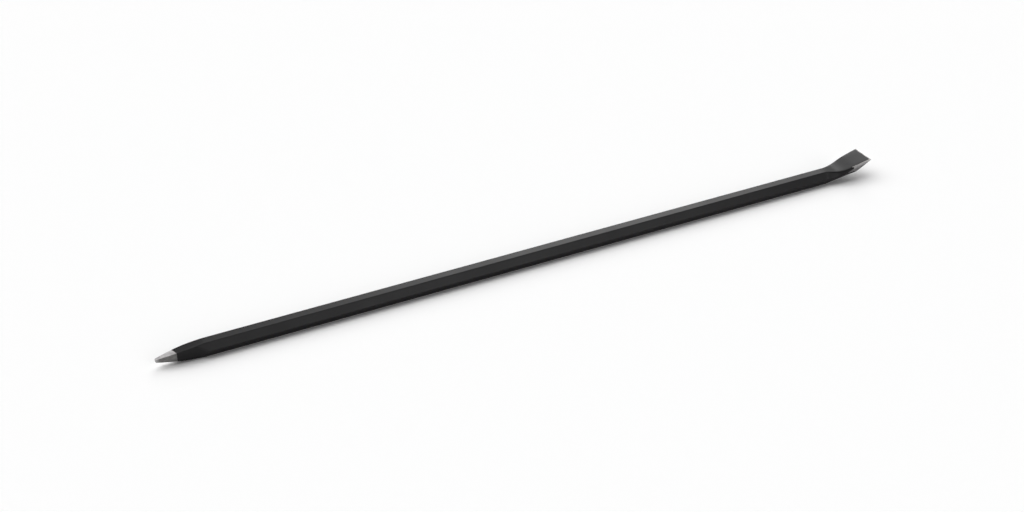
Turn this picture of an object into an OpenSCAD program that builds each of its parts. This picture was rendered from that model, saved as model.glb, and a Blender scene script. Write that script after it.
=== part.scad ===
// Digging bar: a hexagonal steel bar, drawn to a square ground point at one end and spread to a bent chisel
// at the other, under a coat of black paint that leaves the ground ends bare.
// Millimetres. +X runs from the point to the chisel and +Z is up, with the bar lying on one of its flats.

/* [Bar] */
// Overall length, from the blunt end of the point to the cutting edge
bar_length = 1500; // [1000:10:1800]
// Steel hexagon, across its flats
hex_flats = 28.6; // [24:0.1:34]
// How far the rolled rounding reaches along the flats from each corner of the hexagon
hex_rounding = 1.2; // [0.6:0.1:2.5]
// Thickness of the coat of paint
paint = 0.2; // [0.1:0.05:0.5]

/* [Point] */
// Width of the square at the very end of the point, before its edges are blunted
tip_width = 5.2; // [3:0.2:9]
// Width of the blunting round the end of the point
tip_blunting = 0.9; // [0.3:0.1:1.4]
// Length over which the top and bottom of the hexagon are drawn down to the point
flat_taper = 86; // [60:1:130]
// How far the middle of the drawn top and bottom stands out beyond a straight taper
flat_bulge = 1; // [0:0.1:2]
// Length of the side faces, from the end of the point to where they start to run out
side_taper = 64; // [40:1:80]
// Width across the side faces where they start to run out
side_width = 19.4; // [16:0.2:22]
// How far the middle of the side faces stands out beyond a straight taper
side_bulge = 1.2; // [0:0.1:2]
// Length over which the side faces run out onto the corners of the hexagon
side_run_out = 34; // [25:1:60]
// How far the rounding reaches along the faces from each corner of the square
taper_rounding = 0.8; // [0.3:0.1:1.2]
// Length of ground steel that the paint leaves bare at the point
bare_tip = 36.5; // [20:0.5:50]

/* [Chisel] */
// Length of the chisel, from the kink in the underside to the cutting edge
chisel_length = 97; // [90:1:140]
// Width of the cutting edge
edge_width = 50.6; // [40:0.2:70]
// Thickness of the blunt land at the cutting edge
edge_land = 1.2; // [0.6:0.1:3]
// Length of the blade, which is also the length of the ground bevel under it
blade_length = 33; // [24:1:42]
// Thickness of the blade at the heel, where the bevel starts
heel_thickness = 17.4; // [12:0.2:20]
// Upward pitch of the blade's top face
blade_pitch = 9; // [4:0.5:14]
// Height that the top face has gained at the heel
heel_lift = 7.7; // [3:0.1:10]
// Distance back from the cutting edge to where the top face starts to rise
bend_length = 77; // [60:1:85]
// Slope of the underside just after the kink
kink_angle = 16.5; // [10:0.5:22]
// How far the hammered rounding reaches along the faces from the corners of the neck
neck_rounding = 4; // [1:0.2:6]
// How far the sides stand out beyond the top face at the heel
side_swell = 0.4; // [0.2:0.1:1.5]

/* [Ground blade] */
// Distance back from the cutting edge to where the bare sides start, at the top face
bare_side_top = 34; // [20:1:42]
// The same distance at the underside
bare_side_under = 56; // [44:1:70]
// Strip along the cutting edge that the paint on the top face leaves bare
bare_edge = 2; // [0.5:0.1:4]

/* [Hidden] */

paint_colour = "#1d1d1f";
steel_colour = "#a8a8aa";

// Straight hexagon that each forged end keeps next to the shank
joint_land = 6;
// How far the sides of the point have run clear of the hexagon's corners at their end
run_clear = 0.6;
// Slope at which its top and bottom go on to run clear of the hexagon's flats
run_slope = 0.1;
// Extra length of a cut past the face that it opens
overcut = 2;
// Facets of each rounded corner
corner_steps = 3;
// Stations along the point and along the forged neck of the chisel
point_stations = 20;
neck_stations = 18;
// Power that delays the flare of the blade a little behind a plain quarter sine
flare_delay = 1.15;
// Power that keeps the hexagon's side corners standing while the neck spreads
corner_fade = 1.5;
// Height of the side corners as a share of the section: on the hexagon and on the blade
hex_mid_share = 0.5;
blade_mid_share = 0.3;
// A rounding never takes more than this share of an edge
rounding_share = 0.4;

// The bar rests on the paint of its lowest flat
axis_z = hex_flats / 2 + paint;
hex_side = hex_flats / sqrt(3);
x_tip = -bar_length / 2;
x_edge = bar_length / 2;

// The shank starts where both pairs of faces of the point have run out
taper_length = max(flat_taper, side_taper + side_run_out);
x_point_joint = x_tip + taper_length + joint_land;
x_chisel_joint = x_edge - chisel_length - joint_land;

blade_slope = tan(blade_pitch);
heel_top = axis_z + hex_flats / 2 + heel_lift;
heel_under = heel_top - heel_thickness;

// Outlines in the YZ plane

function hexagon() = [
    for (i = [0:5]) hex_side * [cos(60 * i), sin(60 * i)] + [0, axis_z]
];

function oblong(half_y, half_z) = [
    [half_y, axis_z - half_z],
    [half_y, axis_z + half_z],
    [-half_y, axis_z + half_z],
    [-half_y, axis_z - half_z]
];

function outward(a, b) = let (along = (b - a) / norm(b - a)) [along[1], -along[0]];

// Moves every side of a convex outline out by the same distance
function grown(outline, distance) = let (count = len(outline)) [
    for (i = [0:count - 1])
        let (
            before = outward(outline[(i + count - 1) % count], outline[i]),
            after = outward(outline[i], outline[(i + 1) % count])
        )
        outline[i] + distance * (before + after) / (1 + before * after)
];

function blend_corner(before, corner, after, reach) = let (
    to_before = before - corner,
    to_after = after - corner,
    limited = min(reach, rounding_share * norm(to_before), rounding_share * norm(to_after)),
    start = corner + limited * to_before / norm(to_before),
    end = corner + limited * to_after / norm(to_after)
) [
    for (k = [0:corner_steps])
        let (t = k / corner_steps)
        (1 - t) * (1 - t) * start + 2 * t * (1 - t) * corner + t * t * end
];

function rounded(outline, reach) = let (count = len(outline)) [
    for (i = [0:count - 1])
        each blend_corner(outline[(i + count - 1) % count], outline[i], outline[(i + 1) % count], reach)
];

function at_x(x, outline) = [for (p = outline) [x, p[0], p[1]]];

function eased(share) = let (v = max(0, min(1, share))) v * v * (3 - 2 * v);

function mixed(a, b, share) = a + (b - a) * share;

// Profile of the point, at a distance from its end

function drawn(share, half_end, bulge) =
    mixed(tip_width / 2, half_end, share) + 4 * bulge * share * (1 - share);

function point_half_z(from_tip) =
    from_tip <= flat_taper ? drawn(from_tip / flat_taper, hex_flats / 2, flat_bulge) :
    hex_flats / 2 + run_slope * (from_tip - flat_taper);

function point_half_y(from_tip) =
    let (run_out = eased((from_tip - side_taper) / side_run_out))
    mixed(drawn(min(1, from_tip / side_taper), side_width / 2, side_bulge), hex_side + run_clear, run_out);

function point_ring(from_tip, coat, blunting = 0) = at_x(
    x_tip + from_tip,
    rounded(
        oblong(point_half_y(from_tip) + coat - blunting, point_half_z(from_tip) + coat - blunting),
        taper_rounding
    )
);

// Profile of the chisel, at a distance back from the cutting edge

// Cubic from a to b over a run, with a slope at each end
function cubic(share, a, b, slope_a, slope_b, run) = let (v = share, w = 1 - share)
    a * w * w * (1 + 2 * v) + b * v * v * (3 - 2 * v) + run * v * w * (slope_a * w - slope_b * v);

function top_z(back) =
    back >= bend_length ? axis_z + hex_flats / 2 :
    back <= blade_length ? heel_top + blade_slope * (blade_length - back) :
    let (run = bend_length - blade_length)
    cubic((bend_length - back) / run, axis_z + hex_flats / 2, heel_top, 0, blade_slope, run);

function under_z(back) =
    back >= chisel_length ? axis_z - hex_flats / 2 :
    back <= blade_length ? mixed(heel_under, top_z(0) - edge_land, 1 - back / blade_length) :
    let (run = chisel_length - blade_length)
    cubic((chisel_length - back) / run, axis_z - hex_flats / 2, heel_under, tan(kink_angle), blade_slope, run);

function forged(back) = eased((chisel_length - back) / (chisel_length - blade_length));

function half_flat(back) = let (share = max(0, min(1, (chisel_length - back) / chisel_length)))
    mixed(hex_side / 2, edge_width / 2, sin(90 * pow(share, flare_delay)));

function half_side(back) = half_flat(back) + side_swell * forged(back)
    + hex_side / 2 * pow(1 - forged(back), corner_fade);

function side_z(back) =
    mixed(under_z(back), top_z(back), mixed(hex_mid_share, blade_mid_share, forged(back)));

function chisel_outline(back) = [
    [half_side(back), side_z(back)],
    [half_flat(back), top_z(back)],
    [-half_flat(back), top_z(back)],
    [-half_side(back), side_z(back)],
    [-half_flat(back), under_z(back)],
    [half_flat(back), under_z(back)]
];

function chisel_rounding(back) =
    let (share = max(0, min(1, (back - blade_length) / (chisel_length - blade_length))))
    hex_rounding + (neck_rounding - hex_rounding) * pow(sin(180 * share), 2);

function chisel_ring(back, coat) =
    at_x(x_edge - back, rounded(grown(chisel_outline(back), coat), chisel_rounding(back)));

// Stations from the shank to the heel, and then to the end of the piece
function chisel_rings(first, last, coat) = [
    chisel_ring(first, coat),
    for (i = [0:neck_stations])
        chisel_ring(mixed(chisel_length, blade_length, i / neck_stations), coat),
    chisel_ring(mixed(blade_length, last, 0.5), coat),
    chisel_ring(last, coat)
];

// Solid through a row of rings that all have the same number of points
module loft(rings) {
    around = len(rings[0]);
    last = len(rings) - 1;
    sides = [
        for (i = [0:last - 1], j = [0:around - 1])
            let (
                a = i * around + j,
                b = i * around + (j + 1) % around,
                c = b + around,
                d = a + around
            )
            each [[a, d, c], [a, c, b]]
    ];
    near_end = [for (j = [0:around - 1]) j];
    far_end = [for (j = [around - 1:-1:0]) last * around + j];
    polyhedron([for (ring = rings) each ring], concat([near_end, far_end], sides), convexity = 6);
}

// Straight hexagon between two places along the bar
module hexagon_run(x_from, x_to, coat = 0) {
    translate([x_from, 0, 0])
        rotate([90, 0, 90])
            linear_extrude(x_to - x_from)
                polygon(rounded(grown(hexagon(), coat), hex_rounding));
}

// The four drawn faces of the point, carried on past the end of the piece
module taper(coat = 0) {
    past = taper_length + joint_land + 2 * overcut;
    loft([
        point_ring(0, coat, tip_blunting),
        for (i = [0:point_stations]) point_ring(mixed(tip_blunting, past, i / point_stations), coat)
    ]);
}

module point_form(x_to, coat = 0) {
    intersection() {
        taper(coat);
        hexagon_run(x_tip - overcut, x_to, coat);
    }
}

// Everything under the blade's top face and past the slanting line where the ground sides start
module ground_zone() {
    line_top = [x_edge - bare_side_top, top_z(bare_side_top) - paint];
    line_under = [x_edge - bare_side_under, under_z(bare_side_under)];
    below = line_under + (line_under - line_top);
    past_edge = [x_edge + overcut, top_z(0) + blade_slope * overcut - paint];
    rotate([90, 0, 0])
        linear_extrude(edge_width * 2, center = true)
            polygon([line_top, below, [past_edge[0], below[1]], past_edge]);
}

// Steel

module hex_shank() {
    color(steel_colour) hexagon_run(x_point_joint, x_chisel_joint);
}

module point_end() {
    color(steel_colour) point_form(x_point_joint);
}

module chisel_end() {
    color(steel_colour) loft(chisel_rings(chisel_length + joint_land, 0, 0));
}

// Paint

module shank_paint() {
    color(paint_colour)
        difference() {
            hexagon_run(x_point_joint, x_chisel_joint, paint);
            hexagon_run(x_point_joint - overcut, x_chisel_joint + overcut);
        }
}

module point_paint() {
    color(paint_colour)
        difference() {
            point_form(x_point_joint, paint);
            point_form(x_point_joint + overcut);
            translate([x_tip - overcut, -hex_flats, 0])
                cube([overcut + bare_tip, 2 * hex_flats, 2 * hex_flats]);
        }
}

module chisel_paint() {
    color(paint_colour)
        difference() {
            loft(chisel_rings(chisel_length + joint_land, bare_edge, paint));
            loft(chisel_rings(chisel_length + joint_land + overcut, 0, 0));
            ground_zone();
        }
}

hex_shank();
point_end();
chisel_end();
shank_paint();
point_paint();
chisel_paint();
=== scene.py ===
import math

import bmesh
import bpy
import numpy as np
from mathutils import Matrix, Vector, noise


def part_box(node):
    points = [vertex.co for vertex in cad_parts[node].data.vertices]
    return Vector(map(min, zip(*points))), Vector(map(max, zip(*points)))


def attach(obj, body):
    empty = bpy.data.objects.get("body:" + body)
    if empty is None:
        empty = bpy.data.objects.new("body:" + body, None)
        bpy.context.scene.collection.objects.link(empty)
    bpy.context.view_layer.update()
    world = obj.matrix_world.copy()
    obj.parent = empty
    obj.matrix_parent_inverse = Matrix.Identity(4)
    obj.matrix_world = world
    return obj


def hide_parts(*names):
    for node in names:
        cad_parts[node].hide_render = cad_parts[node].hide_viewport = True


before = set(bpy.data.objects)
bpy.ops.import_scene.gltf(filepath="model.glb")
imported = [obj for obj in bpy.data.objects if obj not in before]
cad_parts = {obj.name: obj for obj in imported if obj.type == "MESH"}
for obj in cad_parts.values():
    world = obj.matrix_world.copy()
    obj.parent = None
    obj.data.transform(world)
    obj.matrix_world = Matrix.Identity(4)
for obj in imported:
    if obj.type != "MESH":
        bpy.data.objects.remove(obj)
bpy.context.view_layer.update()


# Shank: the straight middle of the bar, a hexagon of carbon steel, hot rolled and cut to length.
# The forged ends carry on from it face to face, and the paint hides all of it, so the mill scale
# of the rolling is still on it.

MM = 0.001

shank_low, shank_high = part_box("hex_shank")
shank_start = shank_low.x / MM
shank_end = shank_high.x / MM
hex_half = (shank_high.z - shank_low.z) / 2 / MM
axis_z = (shank_high.z + shank_low.z) / 2 / MM
hex_side = 2 * hex_half / math.sqrt(3)
hex_slant = math.radians(30)

scale_dark = "#2f3338"
scale_pale = "#565a60"
scale_patch = 14.0
scale_grain = 2.5


def linear(colour):
    """The linear RGBA of an sRGB hex colour."""
    levels = [int(colour[i:i + 2], 16) / 255 for i in (1, 3, 5)]
    return [v / 12.92 if v <= 0.04045 else ((v + 0.055) / 1.055) ** 2.4 for v in levels] + [1.0]


def add_node(tree, kind, inputs=None, **settings):
    """Adds a node with its settings, and sets or links its inputs by name or number."""
    made = tree.nodes.new(kind)
    for name, value in settings.items():
        setattr(made, name, value)
    for socket, value in (inputs or {}).items():
        if isinstance(value, bpy.types.NodeSocket):
            tree.links.new(value, made.inputs[socket])
        else:
            made.inputs[socket].default_value = value
    return made


def blank_material(name):
    """A material with no nodes yet, and its node tree."""
    material = bpy.data.materials.new(name)
    material.use_nodes = True
    material.node_tree.nodes.clear()
    return material, material.node_tree


def per_metre(size):
    """The scale of a noise whose patches are about this many millimetres across."""
    return 1 / (size * MM)


# Mill scale is the blue-grey oxide skin that hot rolling leaves: half dull, in darker and paler patches.
mill_scale, tree = blank_material("mill_scale_steel")
place = add_node(tree, "ShaderNodeTexCoord").outputs["Object"]
patches = add_node(
    tree, "ShaderNodeTexNoise", {"Vector": place, "Scale": per_metre(scale_patch), "Detail": 4.0}
)
grain = add_node(
    tree, "ShaderNodeTexNoise", {"Vector": place, "Scale": per_metre(scale_grain), "Detail": 2.0}
)
# A colour mix takes its share at input 0 and its colours at 6 and 7, and gives its result at output 2
colour = add_node(
    tree,
    "ShaderNodeMix",
    {0: patches.outputs["Fac"], 6: linear(scale_dark), 7: linear(scale_pale)},
    data_type="RGBA",
)
dullness = add_node(
    tree, "ShaderNodeMapRange", {"Value": patches.outputs["Fac"], "To Min": 0.45, "To Max": 0.7}
)
pits = add_node(
    tree, "ShaderNodeBump", {"Strength": 0.4, "Distance": 0.1 * MM, "Height": grain.outputs["Fac"]}
)
steel = add_node(
    tree,
    "ShaderNodeBsdfPrincipled",
    {
        "Base Color": colour.outputs[2],
        "Metallic": 0.7,
        "Roughness": dullness.outputs["Result"],
        "Normal": pits.outputs["Normal"],
    },
)
add_node(tree, "ShaderNodeOutputMaterial", {"Surface": steel.outputs["BSDF"]})

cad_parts["hex_shank"].data.materials.clear()
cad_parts["hex_shank"].data.materials.append(mill_scale)


# Point: the end of the bar, drawn down hot to a square taper whose faces swell a little and run out
# onto the hexagon. Its tip is ground bright and blunt. It is the same steel as the shank.

point_low, point_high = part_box("point_end")
x_tip = point_low.x / MM
point_length = (point_high.x - point_low.x) / MM
tip_width = 5.2
tip_blunting = 1.3
nose_bright = 9.0
flat_taper = 86.0
flat_bulge = 1.0
side_taper = 64.0
side_width = 19.4
side_bulge = 1.2
side_run_out = 34.0
run_clear = 0.6
least_side = 0.3
corner_break = 0.9

# Corners are as soft as this power is low: 60 rounds the hexagon's to about 1.5 mm
rolled_corner = 60.0
drawn_corner = 30.0

# The faces are never quite flat: rolling leaves less of a ripple than hammering
rolled_ripple = 0.04
forged_ripple = 0.16
ripple_size = 19.0

side_columns = 16
station_step = 1.5
blunting_steps = 4

# Faces that meet at more than this many degrees keep a crisp edge
crisp_angle = 40.0


def eased(share):
    """A share from 0 to 1 with a soft start and end."""
    v = min(1.0, max(0.0, share))
    return v * v * (3 - 2 * v)


def mixed(a, b, share):
    return a + (b - a) * share


def drawn(share, half_end, bulge):
    """Half width of the taper at a share of its length."""
    return mixed(tip_width / 2, half_end, share) + 4 * bulge * share * (1 - share)


def point_section(from_tip, inset=0.0):
    """Corners of the point's section round its axis, and its faces' outward normals and distances."""
    half_z = min(hex_half, drawn(min(1.0, from_tip / flat_taper), hex_half, flat_bulge)) - inset
    run_out = eased((from_tip - side_taper) / side_run_out)
    side = drawn(min(1.0, from_tip / side_taper), side_width / 2, side_bulge)
    half_y = mixed(side, hex_side + run_clear, run_out) - inset
    slant_y = math.cos(hex_slant)
    slant_z = math.sin(hex_slant)
    edge_z = max(least_side, min(half_z - corner_break, (hex_half - slant_y * half_y) / slant_z))
    edge_y = min(half_y, (hex_half - slant_z * least_side) / slant_y)
    top_y = min(half_y - corner_break, (hex_half - slant_z * half_z) / slant_y)
    corners = np.array([
        (edge_y, -edge_z), (edge_y, edge_z), (top_y, half_z), (-top_y, half_z),
        (-edge_y, edge_z), (-edge_y, -edge_z), (-top_y, -half_z), (top_y, -half_z),
    ])
    normals = np.array([
        (1, 0), (slant_y, slant_z), (0, 1), (-slant_y, slant_z),
        (-1, 0), (-slant_y, -slant_z), (0, -1), (slant_y, -slant_z),
    ])
    distances = np.array([half_y, hex_half, half_z, hex_half, half_y, hex_half, half_z, hex_half])
    return corners, normals, distances


def walked(corners):
    """Points along a closed outline, closer together beside its corners."""
    steps = np.arange(side_columns) / side_columns
    shares = 0.5 * steps + 0.5 * steps * steps * (3 - 2 * steps)
    sides = zip(corners, np.roll(corners, -1, axis=0))
    return np.vstack([corner + np.outer(shares, following - corner) for corner, following in sides])


def ring(x, centre_z, section, softness, ripple, coat=0.0, points=None):
    """Points round a section with soft corners: x, y, z, how near a corner and how level, from 0 to 1."""
    corners, normals, distances = section
    points = walked(corners) if points is None else points
    waves = np.array([noise.noise(Vector((x, y, z + centre_z)) / ripple_size) for y, z in points])
    # How near each point comes to each face: 1 on the face itself
    reach = np.clip(points @ normals.T / (distances + coat + ripple * waves[:, None]), 0, None)
    nearest = np.sort(reach, axis=1)
    corner = nearest[:, -2] / nearest[:, -1]
    pull = reach ** softness
    total = np.sum(pull, axis=1)
    # How level the surface lies: it later picks the ground steel's lit colour or its darker painted-shade
    # copy
    level = pull @ np.abs(normals[:, 1]) / total
    skin = points * (total ** (-1 / softness))[:, None]
    return np.column_stack([np.full(len(skin), x), skin[:, 0], skin[:, 1] + centre_z, corner, level])


def point_ring(from_tip, inset=0.0, coat=0.0):
    """A ring of the point, whose blunt nose takes the lit colour all round: rubbed bright by use, and a
    painted highlight as well.
    """
    fading = eased((point_length - from_tip) / (point_length - side_taper))
    ripple = mixed(rolled_ripple, forged_ripple, fading)
    section = point_section(from_tip, inset)
    softness = mixed(rolled_corner, drawn_corner, fading)
    made = ring(x_tip + from_tip, axis_z, section, softness, ripple, coat)
    # The nose gets the lit colour on every side: partly real wear, partly a painted highlight
    made[:, 4] = mixed(made[:, 4], 1.0, eased(1 - from_tip / nose_bright))
    return made


def mesh_piece(name, grids, material, capped=False, thickness=0.0):
    """A smooth piece from grids that may share points, each a pair of its rows and if they wrap round."""
    bm = bmesh.new()
    layers = [bm.verts.layers.float.new(layer) for layer in ("corner", "level", "rubbed")]
    known = {}

    def vertex(point):
        key = tuple(np.round(point[:3], 5))
        if key not in known:
            known[key] = bm.verts.new(Vector(point[:3]) * MM)
            for layer, value in zip(layers, point[3:]):
                known[key][layer] = value
        return known[key]

    for rows, wraps in grids:
        lines = [[vertex(point) for point in row] for row in rows]
        for near, far in zip(lines, lines[1:]):
            pairs = range(len(near) if wraps else len(near) - 1)
            for a in pairs:
                b = (a + 1) % len(near)
                bm.faces.new([near[a], near[b], far[b], far[a]])
    if capped:
        rows = grids[0][0]
        bm.faces.new([vertex(point) for point in reversed(rows[0])])
        bm.faces.new([vertex(point) for point in rows[-1]])
    if thickness:
        bm.normal_update()
        bmesh.ops.solidify(bm, geom=bm.faces[:], thickness=thickness * MM)
    mesh = bpy.data.meshes.new(name)
    bm.to_mesh(mesh)
    bm.free()
    mesh.shade_smooth()
    mesh.set_sharp_from_angle(angle=math.radians(crisp_angle))
    mesh.materials.append(material)
    piece = bpy.data.objects.new(name, mesh)
    bpy.context.scene.collection.objects.link(piece)
    return piece


ground_pale = "#bfbdbd"
ground_dark = "#8c8a8b"
# The sides' colours are a darker copy of the ground steel's: painted shade
shaded_side_pale = "#7f7e7d"
shaded_side_dark = "#555454"
scratch_length = 22.0
# Grit scratches are about 0.2 mm apart; these are drawn coarser, so that they show from a step away
scratch_width = 1.4
stain_size = 9.0

# Ground steel is bright and a little dull, streaked along the stroke of the belt, with greyer stains.
# The faces that lie level get its pale, lit colour, and the faces that turn sideways get a darker copy of
# it as painted shade.
ground_steel, tree = blank_material("ground_steel")
place = add_node(tree, "ShaderNodeTexCoord").outputs["Object"]
stroke = add_node(
    tree,
    "ShaderNodeMapping",
    {
        "Vector": place,
        "Scale": (per_metre(scratch_length), per_metre(scratch_width), per_metre(scratch_width)),
    },
)
scratches = add_node(
    tree, "ShaderNodeTexNoise", {"Vector": stroke.outputs["Vector"], "Scale": 1.0, "Detail": 3.0}
)
stains = add_node(
    tree, "ShaderNodeTexNoise", {"Vector": place, "Scale": per_metre(stain_size), "Detail": 3.0}
)
blotches = add_node(
    tree,
    "ShaderNodeMath",
    {0: scratches.outputs["Fac"], 1: stains.outputs["Fac"]},
    operation="MULTIPLY",
)
tone = add_node(
    tree,
    "ShaderNodeMapRange",
    {"Value": blotches.outputs["Value"], "From Min": 0.1, "From Max": 0.42},
)
lit_faces = add_node(
    tree,
    "ShaderNodeMix",
    {0: tone.outputs["Result"], 6: linear(ground_dark), 7: linear(ground_pale)},
    data_type="RGBA",
)
shaded_sides = add_node(
    tree,
    "ShaderNodeMix",
    {0: tone.outputs["Result"], 6: linear(shaded_side_dark), 7: linear(shaded_side_pale)},
    data_type="RGBA",
)
# How level each face lies picks the lit colour or its painted-shade copy for the sides
level = add_node(tree, "ShaderNodeAttribute", attribute_name="level")
colour = add_node(
    tree,
    "ShaderNodeMix",
    {0: level.outputs["Fac"], 6: shaded_sides.outputs[2], 7: lit_faces.outputs[2]},
    data_type="RGBA",
)
dullness = add_node(
    tree, "ShaderNodeMapRange", {"Value": scratches.outputs["Fac"], "To Min": 0.36, "To Max": 0.52}
)
grooves = add_node(
    tree,
    "ShaderNodeBump",
    {"Strength": 0.35, "Distance": 0.12 * MM, "Height": scratches.outputs["Fac"]},
)
steel = add_node(
    tree,
    "ShaderNodeBsdfPrincipled",
    {
        "Base Color": colour.outputs[2],
        "Metallic": 1.0,
        "Roughness": dullness.outputs["Result"],
        "Normal": grooves.outputs["Normal"],
    },
)
add_node(tree, "ShaderNodeOutputMaterial", {"Surface": steel.outputs["BSDF"]})

blunt_angles = np.linspace(0, math.pi / 2, blunting_steps + 1)
blunt_rings = [
    point_ring(tip_blunting * (1 - math.cos(a)), tip_blunting * (1 - math.sin(a))) for a in blunt_angles
]
point_stations = np.linspace(tip_blunting, point_length, round(point_length / station_step) + 1)
point_rings = blunt_rings + [point_ring(from_tip) for from_tip in point_stations[1:]]
point_steel = mesh_piece("point_steel", [(point_rings, True)], ground_steel, capped=True)
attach(point_steel, "root")
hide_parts("point_end")


# Chisel: the other end of the bar, spread and bent up hot into a broad blade with a level edge. Under it
# the bevel is ground from the heel to the edge, and its sides are ground clean. It is the same steel.

x_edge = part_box("chisel_end")[1].x / MM
chisel_joint = x_edge - shank_end
chisel_length = 97.0
edge_width = 52.6
edge_land = 1.2
edge_blunting = 0.15
blade_length = 33.0
heel_thickness = 17.4
heel_lift = 7.7
heel_crease = 0.4
blade_slope = math.tan(math.radians(9))
bend_length = 77.0
kink_slope = math.tan(math.radians(16.5))
side_swell = 0.4
flare_delay = 1.15
corner_fade = 1.5
hex_mid_share = 0.5
blade_mid_share = 0.3
hammered_corner = 12.0
hammer_middle = 62.0
hammer_focus = 1.5
neck_spread = 2.8
neck_dip = 2.6
blade_corner = 12.0
edge_bright = 2.5
rim_highlight_depth = 8.0

heel_top = axis_z + hex_half + heel_lift
heel_under = heel_top - heel_thickness


def cubic(share, a, b, slope_a, slope_b, run):
    """A curve from a to b over a run, with a slope at each end."""
    v = share
    w = 1 - share
    return a * w * w * (1 + 2 * v) + b * v * v * (3 - 2 * v) + run * v * w * (slope_a * w - slope_b * v)


def hammered(back):
    """How much the hammer has worked the neck: most at its middle, and none at the joint and the edge."""
    reach = min(1.0, back / chisel_joint) ** (math.log(0.5) / math.log(hammer_middle / chisel_joint))
    return max(0.0, math.sin(math.pi * reach)) ** hammer_focus


def top_z(back):
    """Height of the top face at a distance back from the cutting edge: the bend and the neck's dip."""
    if back >= bend_length:
        bent = axis_z + hex_half
    elif back <= blade_length:
        bent = heel_top + blade_slope * (blade_length - back)
    else:
        run = bend_length - blade_length
        bent = cubic((bend_length - back) / run, axis_z + hex_half, heel_top, 0, blade_slope, run)
    return bent - neck_dip * hammered(back)


def under_z(back):
    """Height of the underside: the kink, the heel and the bevel."""
    if back >= chisel_length:
        return axis_z - hex_half
    if back <= blade_length:
        return mixed(heel_under, top_z(0) - edge_land, 1 - back / blade_length)
    run = chisel_length - blade_length
    return cubic((chisel_length - back) / run, axis_z - hex_half, heel_under, kink_slope, blade_slope, run)


def forged(back):
    """Share of the forging that is done: 0 at the kink and 1 from the heel on."""
    return eased((chisel_length - back) / (chisel_length - blade_length))


def half_under(back):
    """Half width of the underside, which flares from the hexagon's flat to the edge."""
    share = min(1.0, max(0.0, (chisel_length - back) / chisel_length))
    return mixed(hex_side / 2, edge_width / 2, math.sin(math.pi / 2 * share ** flare_delay))


def half_flat(back):
    """Half width of the top face, which the hammer spread a little further."""
    return half_under(back) + neck_spread * hammered(back)


def side_z(back):
    """Height of the corners along the sides."""
    return mixed(under_z(back), top_z(back), mixed(hex_mid_share, blade_mid_share, forged(back)))


def chisel_section(back, inset=0.0):
    """Corners of the chisel's section round the middle of its sides, with its faces as for the point."""
    flat = half_flat(back) - inset
    hexagon_left = hex_side / 2 * (1 - forged(back)) ** corner_fade
    side = flat + side_swell * forged(back) + hexagon_left
    above = top_z(back) - side_z(back) - inset
    below = side_z(back) - under_z(back) - inset
    under = half_under(back) - inset
    corners = np.array([
        (side, 0), (flat, above), (-flat, above), (-side, 0), (-under, -below), (under, -below),
    ])
    along = np.roll(corners, -1, axis=0) - corners
    normals = np.column_stack([along[:, 1], -along[:, 0]]) / np.linalg.norm(along, axis=1)[:, None]
    return corners, normals, np.sum(normals * corners, axis=1)


def chisel_ring(back, inset=0.0, coat=0.0, points=None):
    ends = mixed(1 / rolled_corner, 1 / blade_corner, forged(back))
    rounding = mixed(ends, 1 / hammered_corner, hammered(back))
    ripple = mixed(rolled_ripple, forged_ripple, forged(back)) * eased(back / blade_length)
    section = chisel_section(back, inset)
    return ring(x_edge - back, side_z(back), section, 1 / rounding, ripple, coat, points)


def steel_ring(back, inset=0.0):
    """A ring of bare steel: the ground bevel and edge take the lit colour, and the sides' upper rims take
    it too, fading downwards, as a painted highlight.
    """
    made = chisel_ring(back, inset)
    for point in made:
        if point[2] < side_z(back):
            continue
        # Each side is lighter towards its top edge: a painted highlight
        rim_highlight = 1 - eased((top_z(back) - point[2]) / rim_highlight_depth)
        point[4] = mixed(1.0, rim_highlight, eased(back / edge_bright - 1))
    return made


neck_stations = np.linspace(chisel_joint, blade_length, round((chisel_joint - blade_length) / station_step))
blade_stations = np.linspace(blade_length, edge_blunting, round(blade_length / station_step))
chisel_stations = [*neck_stations[:-1], blade_length + heel_crease, *blade_stations]
chisel_rings = [steel_ring(back) for back in chisel_stations] + [steel_ring(0, edge_blunting)]
chisel_steel = mesh_piece("chisel_steel", [(chisel_rings, True)], ground_steel, capped=True)
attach(chisel_steel, "root")
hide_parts("chisel_end")


# Paint on the shank: one coat of black enamel that the whole bar is dipped in, about 0.2 mm thick.
# It follows every face and draws thin over the corners of the hexagon.

paint = (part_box("shank_paint")[1].z - shank_high.z) / MM
shank_station_step = 8.0

enamel_deep = "#0a090b"
enamel_pale = "#121113"
enamel_rubbed = "#2c2c2d"
worn_steel = "#989693"
cloud_size = 45.0
worn_size = 5.0
# Orange peel is 1 to 2 mm across; it is drawn coarser, so that it shows from a step away
peel_size = 6.0
flow_size = 28.0

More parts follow.
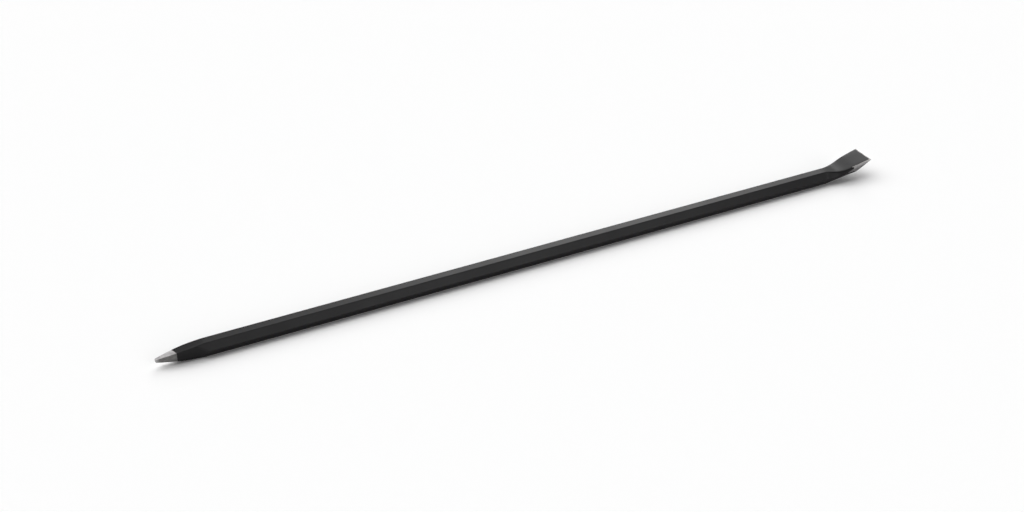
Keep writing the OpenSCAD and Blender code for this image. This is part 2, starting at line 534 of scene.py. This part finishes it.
# Satin black enamel: deep and neutral, with a soft sheen that is cloudy, faint orange peel, corners that
# handling has rubbed a little paler, and bare steel where use has worn the blade's edges through.
enamel, tree = blank_material("black_enamel")
place = add_node(tree, "ShaderNodeTexCoord").outputs["Object"]
clouds = add_node(
    tree, "ShaderNodeTexNoise", {"Vector": place, "Scale": per_metre(cloud_size), "Detail": 4.0}
)
peel = add_node(
    tree, "ShaderNodeTexNoise", {"Vector": place, "Scale": per_metre(peel_size), "Detail": 2.0}
)
flow = add_node(
    tree, "ShaderNodeTexNoise", {"Vector": place, "Scale": per_metre(flow_size), "Detail": 1.0}
)
body = add_node(
    tree,
    "ShaderNodeMix",
    {0: clouds.outputs["Fac"], 6: linear(enamel_deep), 7: linear(enamel_pale)},
    data_type="RGBA",
)
corner = add_node(tree, "ShaderNodeAttribute", attribute_name="corner")
rubbing = add_node(
    tree,
    "ShaderNodeMapRange",
    {"Value": corner.outputs["Fac"], "From Min": 0.93, "From Max": 1.0, "To Max": 0.7},
    interpolation_type="SMOOTHSTEP",
)
patchy = add_node(
    tree,
    "ShaderNodeMath",
    {0: rubbing.outputs["Result"], 1: clouds.outputs["Fac"]},
    operation="MULTIPLY",
)
colour = add_node(
    tree,
    "ShaderNodeMix",
    {0: patchy.outputs["Value"], 6: body.outputs[2], 7: linear(enamel_rubbed)},
    data_type="RGBA",
)
sheen = add_node(
    tree, "ShaderNodeMapRange", {"Value": clouds.outputs["Fac"], "To Min": 0.27, "To Max": 0.39}
)
ridge = add_node(
    tree,
    "ShaderNodeMapRange",
    {"Value": corner.outputs["Fac"], "From Min": 0.88, "From Max": 0.97},
    interpolation_type="SMOOTHSTEP",
)
use = add_node(tree, "ShaderNodeAttribute", attribute_name="rubbed")
wear = add_node(
    tree,
    "ShaderNodeMath",
    {0: ridge.outputs["Result"], 1: use.outputs["Fac"]},
    operation="MULTIPLY",
)
scuffs = add_node(
    tree, "ShaderNodeTexNoise", {"Vector": place, "Scale": per_metre(worn_size), "Detail": 2.0}
)
torn = add_node(
    tree,
    "ShaderNodeMath",
    {0: wear.outputs["Value"], 1: scuffs.outputs["Fac"]},
    operation="ADD",
)
worn = add_node(
    tree, "ShaderNodeMapRange", {"Value": torn.outputs["Value"], "From Min": 0.8, "From Max": 1.05}
)
bared = add_node(
    tree,
    "ShaderNodeMix",
    {0: worn.outputs["Result"], 6: colour.outputs[2], 7: linear(worn_steel)},
    data_type="RGBA",
)
runs = add_node(
    tree, "ShaderNodeBump", {"Strength": 0.5, "Distance": 0.25 * MM, "Height": flow.outputs["Fac"]}
)
skin = add_node(
    tree,
    "ShaderNodeBump",
    {
        "Strength": 0.3,
        "Distance": 0.05 * MM,
        "Height": peel.outputs["Fac"],
        "Normal": runs.outputs["Normal"],
    },
)
gloss = add_node(
    tree,
    "ShaderNodeBsdfPrincipled",
    {
        "Base Color": bared.outputs[2],
        "Metallic": worn.outputs["Result"],
        "Roughness": sheen.outputs["Result"],
        "IOR": 1.5,
        "Specular IOR Level": 0.2,
        "Normal": skin.outputs["Normal"],
    },
)
add_node(tree, "ShaderNodeOutputMaterial", {"Surface": gloss.outputs["BSDF"]})


def shank_ring(x, coat):
    turns = np.radians(60 * np.arange(6))
    corners = hex_side * np.column_stack([np.cos(turns), np.sin(turns)])
    normals = np.column_stack([np.cos(turns + hex_slant), np.sin(turns + hex_slant)])
    section = corners, normals, np.full(6, hex_half)
    return ring(x, axis_z, section, rolled_corner, rolled_ripple, coat)


shank_stations = np.linspace(shank_start, shank_end, round((shank_end - shank_start) / shank_station_step))
shank_rings = [shank_ring(x, paint) for x in shank_stations]
shank_enamel = mesh_piece("shank_enamel", [(shank_rings, True)], enamel, thickness=paint)
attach(shank_enamel, "root")
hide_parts("shank_paint")


# Paint on the point: the same coat of enamel, which ends where the tip was ground bare. The line
# wanders, and it runs aslant over the top and the bottom.

bare_tip = 34.0
bare_slant = 2.5
line_wander = 0.7
line_wave = 4.0
line_spare = 4.0
film_rows = 45
film_samples = 2 * film_rows


def wandering(along, other):
    """How far the end of the paint strays, in millimetres."""
    return line_wander * noise.noise(Vector((along, other, 0)) / line_wave)


def trimmed(rings, stations, starts, ends, rows):
    """Rings taken anew along each column, from its own start to its own end."""
    rings = np.array(rings)
    shares = np.linspace(0, 1, rows)
    places = starts + np.outer(shares, ends - starts)
    columns = [
        [np.interp(places[:, c], stations, rings[:, c, k]) for k in range(rings.shape[2])]
        for c in range(rings.shape[1])
    ]
    return np.transpose(np.array(columns), (2, 0, 1))


film_stations = np.linspace(bare_tip - line_spare, point_length, film_samples)
film_rings = [point_ring(from_tip, coat=paint) for from_tip in film_stations]
tip_ring = point_ring(bare_tip, coat=paint)
tip_half = np.max(tip_ring[:, 1])
film_starts = np.array([
    bare_tip - bare_slant * y / tip_half + wandering(y, z) for y, z in tip_ring[:, 1:3]
])
film_ends = np.full(len(film_starts), point_length)
point_film = trimmed(film_rings, film_stations, film_starts, film_ends, film_rows)
point_enamel = mesh_piece("point_enamel", [(point_film, True)], enamel, thickness=paint)
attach(point_enamel, "root")
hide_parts("point_paint")


# Paint on the chisel: the same coat of enamel round the neck, under it as far as the heel, and over the
# top of the blade. Grinding took it off the bevel, in a bay off the sides, and off the edges of the top.

bare_side_top = 41.0
bare_side_deep = 53.0
bare_heel = 36.0
heel_spare = 2.0
bare_edge = 2.0
bay_start = 0.3
bay_full = 0.52
bay_turn = 0.58
bay_end = 0.76
bare_near_corner = 0.8
bare_far_corner = 0.2
corner_run = 9.0
worn_length = 50.0
worn_start = 0.2
worn_fade = 12.0
worn_near = 1.0
worn_far = 0.35
tongue_rows = 24

film_stations = np.linspace(chisel_joint, bare_heel - heel_spare, film_samples)
film_rings = [chisel_ring(back, coat=paint) for back in film_stations]
side_ring = chisel_ring((bare_side_top + bare_side_deep) / 2, coat=paint)
side_high = np.max(side_ring[:, 2])
side_low = np.min(side_ring[:, 2])
side_drop = (side_high - side_ring[:, 2]) / (side_high - side_low)


def bare_line(drop):
    """How far back the bare side reaches at a share of the way down it."""
    bay = mixed(bare_side_top, bare_side_deep, eased((drop - bay_start) / (bay_full - bay_start)))
    return mixed(bay, bare_heel, eased((drop - bay_turn) / (bay_end - bay_turn)))


film_ends = np.array([
    bare_line(drop) + wandering(z, y) for drop, (y, z) in zip(side_drop, side_ring[:, 1:3])
])
film_starts = np.full(len(film_ends), chisel_joint)
neck_film = trimmed(film_rings[::-1], film_stations[::-1], film_starts, film_ends, film_rows)


def with_wear(point):
    """A point of the film with its share of wear, along the blade's top edges and more on the near side."""
    x, y, z = point[:3]
    back = x_edge - x
    use = worn_near if y < 0 else worn_far
    upper = eased((z - side_z(back)) / (top_z(back) - side_z(back)) - worn_start)
    return np.append(point, use * upper * eased((worn_length - back) / worn_fade))


neck_film = [[with_wear(point) for point in row] for row in neck_film]

# The tongue over the top of the blade goes on from the neck's columns between the two upper corners
tongue_columns = range(side_columns, 2 * side_columns + 1)
tongue_film = [[neck_film[-1][c] for c in tongue_columns]]
first_row = np.array(tongue_film[0])
widest = np.max(np.abs(first_row[:, 1]))
for row in range(1, tongue_rows):
    share = row / (tongue_rows - 1)
    line = []
    for x, y, z in first_row[:, :3]:
        start = x_edge - x
        back = mixed(start, bare_edge + wandering(y, z), share)
        bare_corner = bare_near_corner if y < 0 else bare_far_corner
        margin = bare_corner * eased((start - back) / corner_run)
        target = np.array([(y / widest * (half_flat(back) - margin), top_z(back) - side_z(back))])
        line.append(with_wear(chisel_ring(back, coat=paint, points=target)[0]))
    tongue_film.append(line)

chisel_enamel = mesh_piece(
    "chisel_enamel", [(neck_film, True), (tongue_film, False)], enamel, thickness=paint
)
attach(chisel_enamel, "root")
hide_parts("chisel_paint")


# Floor: a plain pale sheet of board that the bar lies on, wide enough to fill every view. It isn't part
# of the bar.

floor_half = 20.0
floor_colour = "#fdfdfd"

# Matt white board: no sheen at all, and white by its own colour, so that it keeps the bar's shadow.
board, tree = blank_material("matt_white_board")
matt = add_node(
    tree,
    "ShaderNodeBsdfPrincipled",
    {"Base Color": linear(floor_colour), "Roughness": 1.0, "Specular IOR Level": 0.0},
)
add_node(tree, "ShaderNodeOutputMaterial", {"Surface": matt.outputs["BSDF"]})

floor_mesh = bpy.data.meshes.new("floor")
floor_corners = [(-floor_half, -floor_half, 0), (floor_half, -floor_half, 0)]
floor_corners += [(floor_half, floor_half, 0), (-floor_half, floor_half, 0)]
floor_mesh.from_pydata(floor_corners, [], [(0, 1, 2, 3)])
floor_mesh.materials.append(board)
floor = bpy.data.objects.new("floor", floor_mesh)
bpy.context.scene.collection.objects.link(floor)


# Light: an even, dim studio dome with four softboxes in it: a large one high behind on the left, two behind
# on the right that the top face reflects, and a small one low in front that the near upper face reflects.
# Each has its level, its turn from +Y towards +X, its height, and the reach of its edge and its core.

dome_level = 0.09
softboxes = [
    (2.24, -48, 58, 44, 20),
    (2.42, 40, 45, 30, 4),
    (3.3, 29, 24, 13, 2),
    (3.1, 158, 22, 20, 2),
]

world = bpy.data.worlds.new("studio")
world.use_nodes = True
bpy.context.scene.world = world
tree = world.node_tree
tree.nodes.clear()
toward = add_node(tree, "ShaderNodeTexCoord").outputs["Generated"]
light = dome_level
for strength, turn, height, edge, core in softboxes:
    turn, height, edge, core = (math.radians(angle) for angle in (turn, height, edge, core))
    way = (math.sin(turn) * math.cos(height), math.cos(turn) * math.cos(height), math.sin(height))
    facing = add_node(tree, "ShaderNodeVectorMath", {0: toward, 1: way}, operation="DOT_PRODUCT")
    glow = add_node(
        tree,
        "ShaderNodeMapRange",
        {
            "Value": facing.outputs["Value"],
            "From Min": math.cos(edge),
            "From Max": math.cos(core),
            "To Max": strength,
        },
        interpolation_type="SMOOTHSTEP",
    )
    total = add_node(tree, "ShaderNodeMath", {0: light, 1: glow.outputs["Result"]}, operation="ADD")
    light = total.outputs["Value"]
sky = add_node(tree, "ShaderNodeBackground", {"Color": (1.0, 1.0, 1.0, 1.0), "Strength": light})
add_node(tree, "ShaderNodeOutputWorld", {"Surface": sky.outputs["Background"]})


# Camera: above and to the left of the point, looking along the bar towards the chisel. Its place, turn
# and lens come from the directions of the bar's own edges.

camera_place = (-1.1808, -2.1772, 1.5835)
camera_turn = math.radians(-27.11)
camera_height = math.radians(32.4515)
lens = 54.505

camera_data = bpy.data.cameras.new("camera")
camera_data.sensor_width = 36.0
camera_data.lens = lens
camera = bpy.data.objects.new("camera", camera_data)
camera.location = camera_place
camera.rotation_euler = (math.pi / 2 - camera_height, 0.0, camera_turn)
bpy.context.scene.collection.objects.link(camera)
bpy.context.scene.camera = camera

bpy.context.scene.view_settings.view_transform = "Standard"
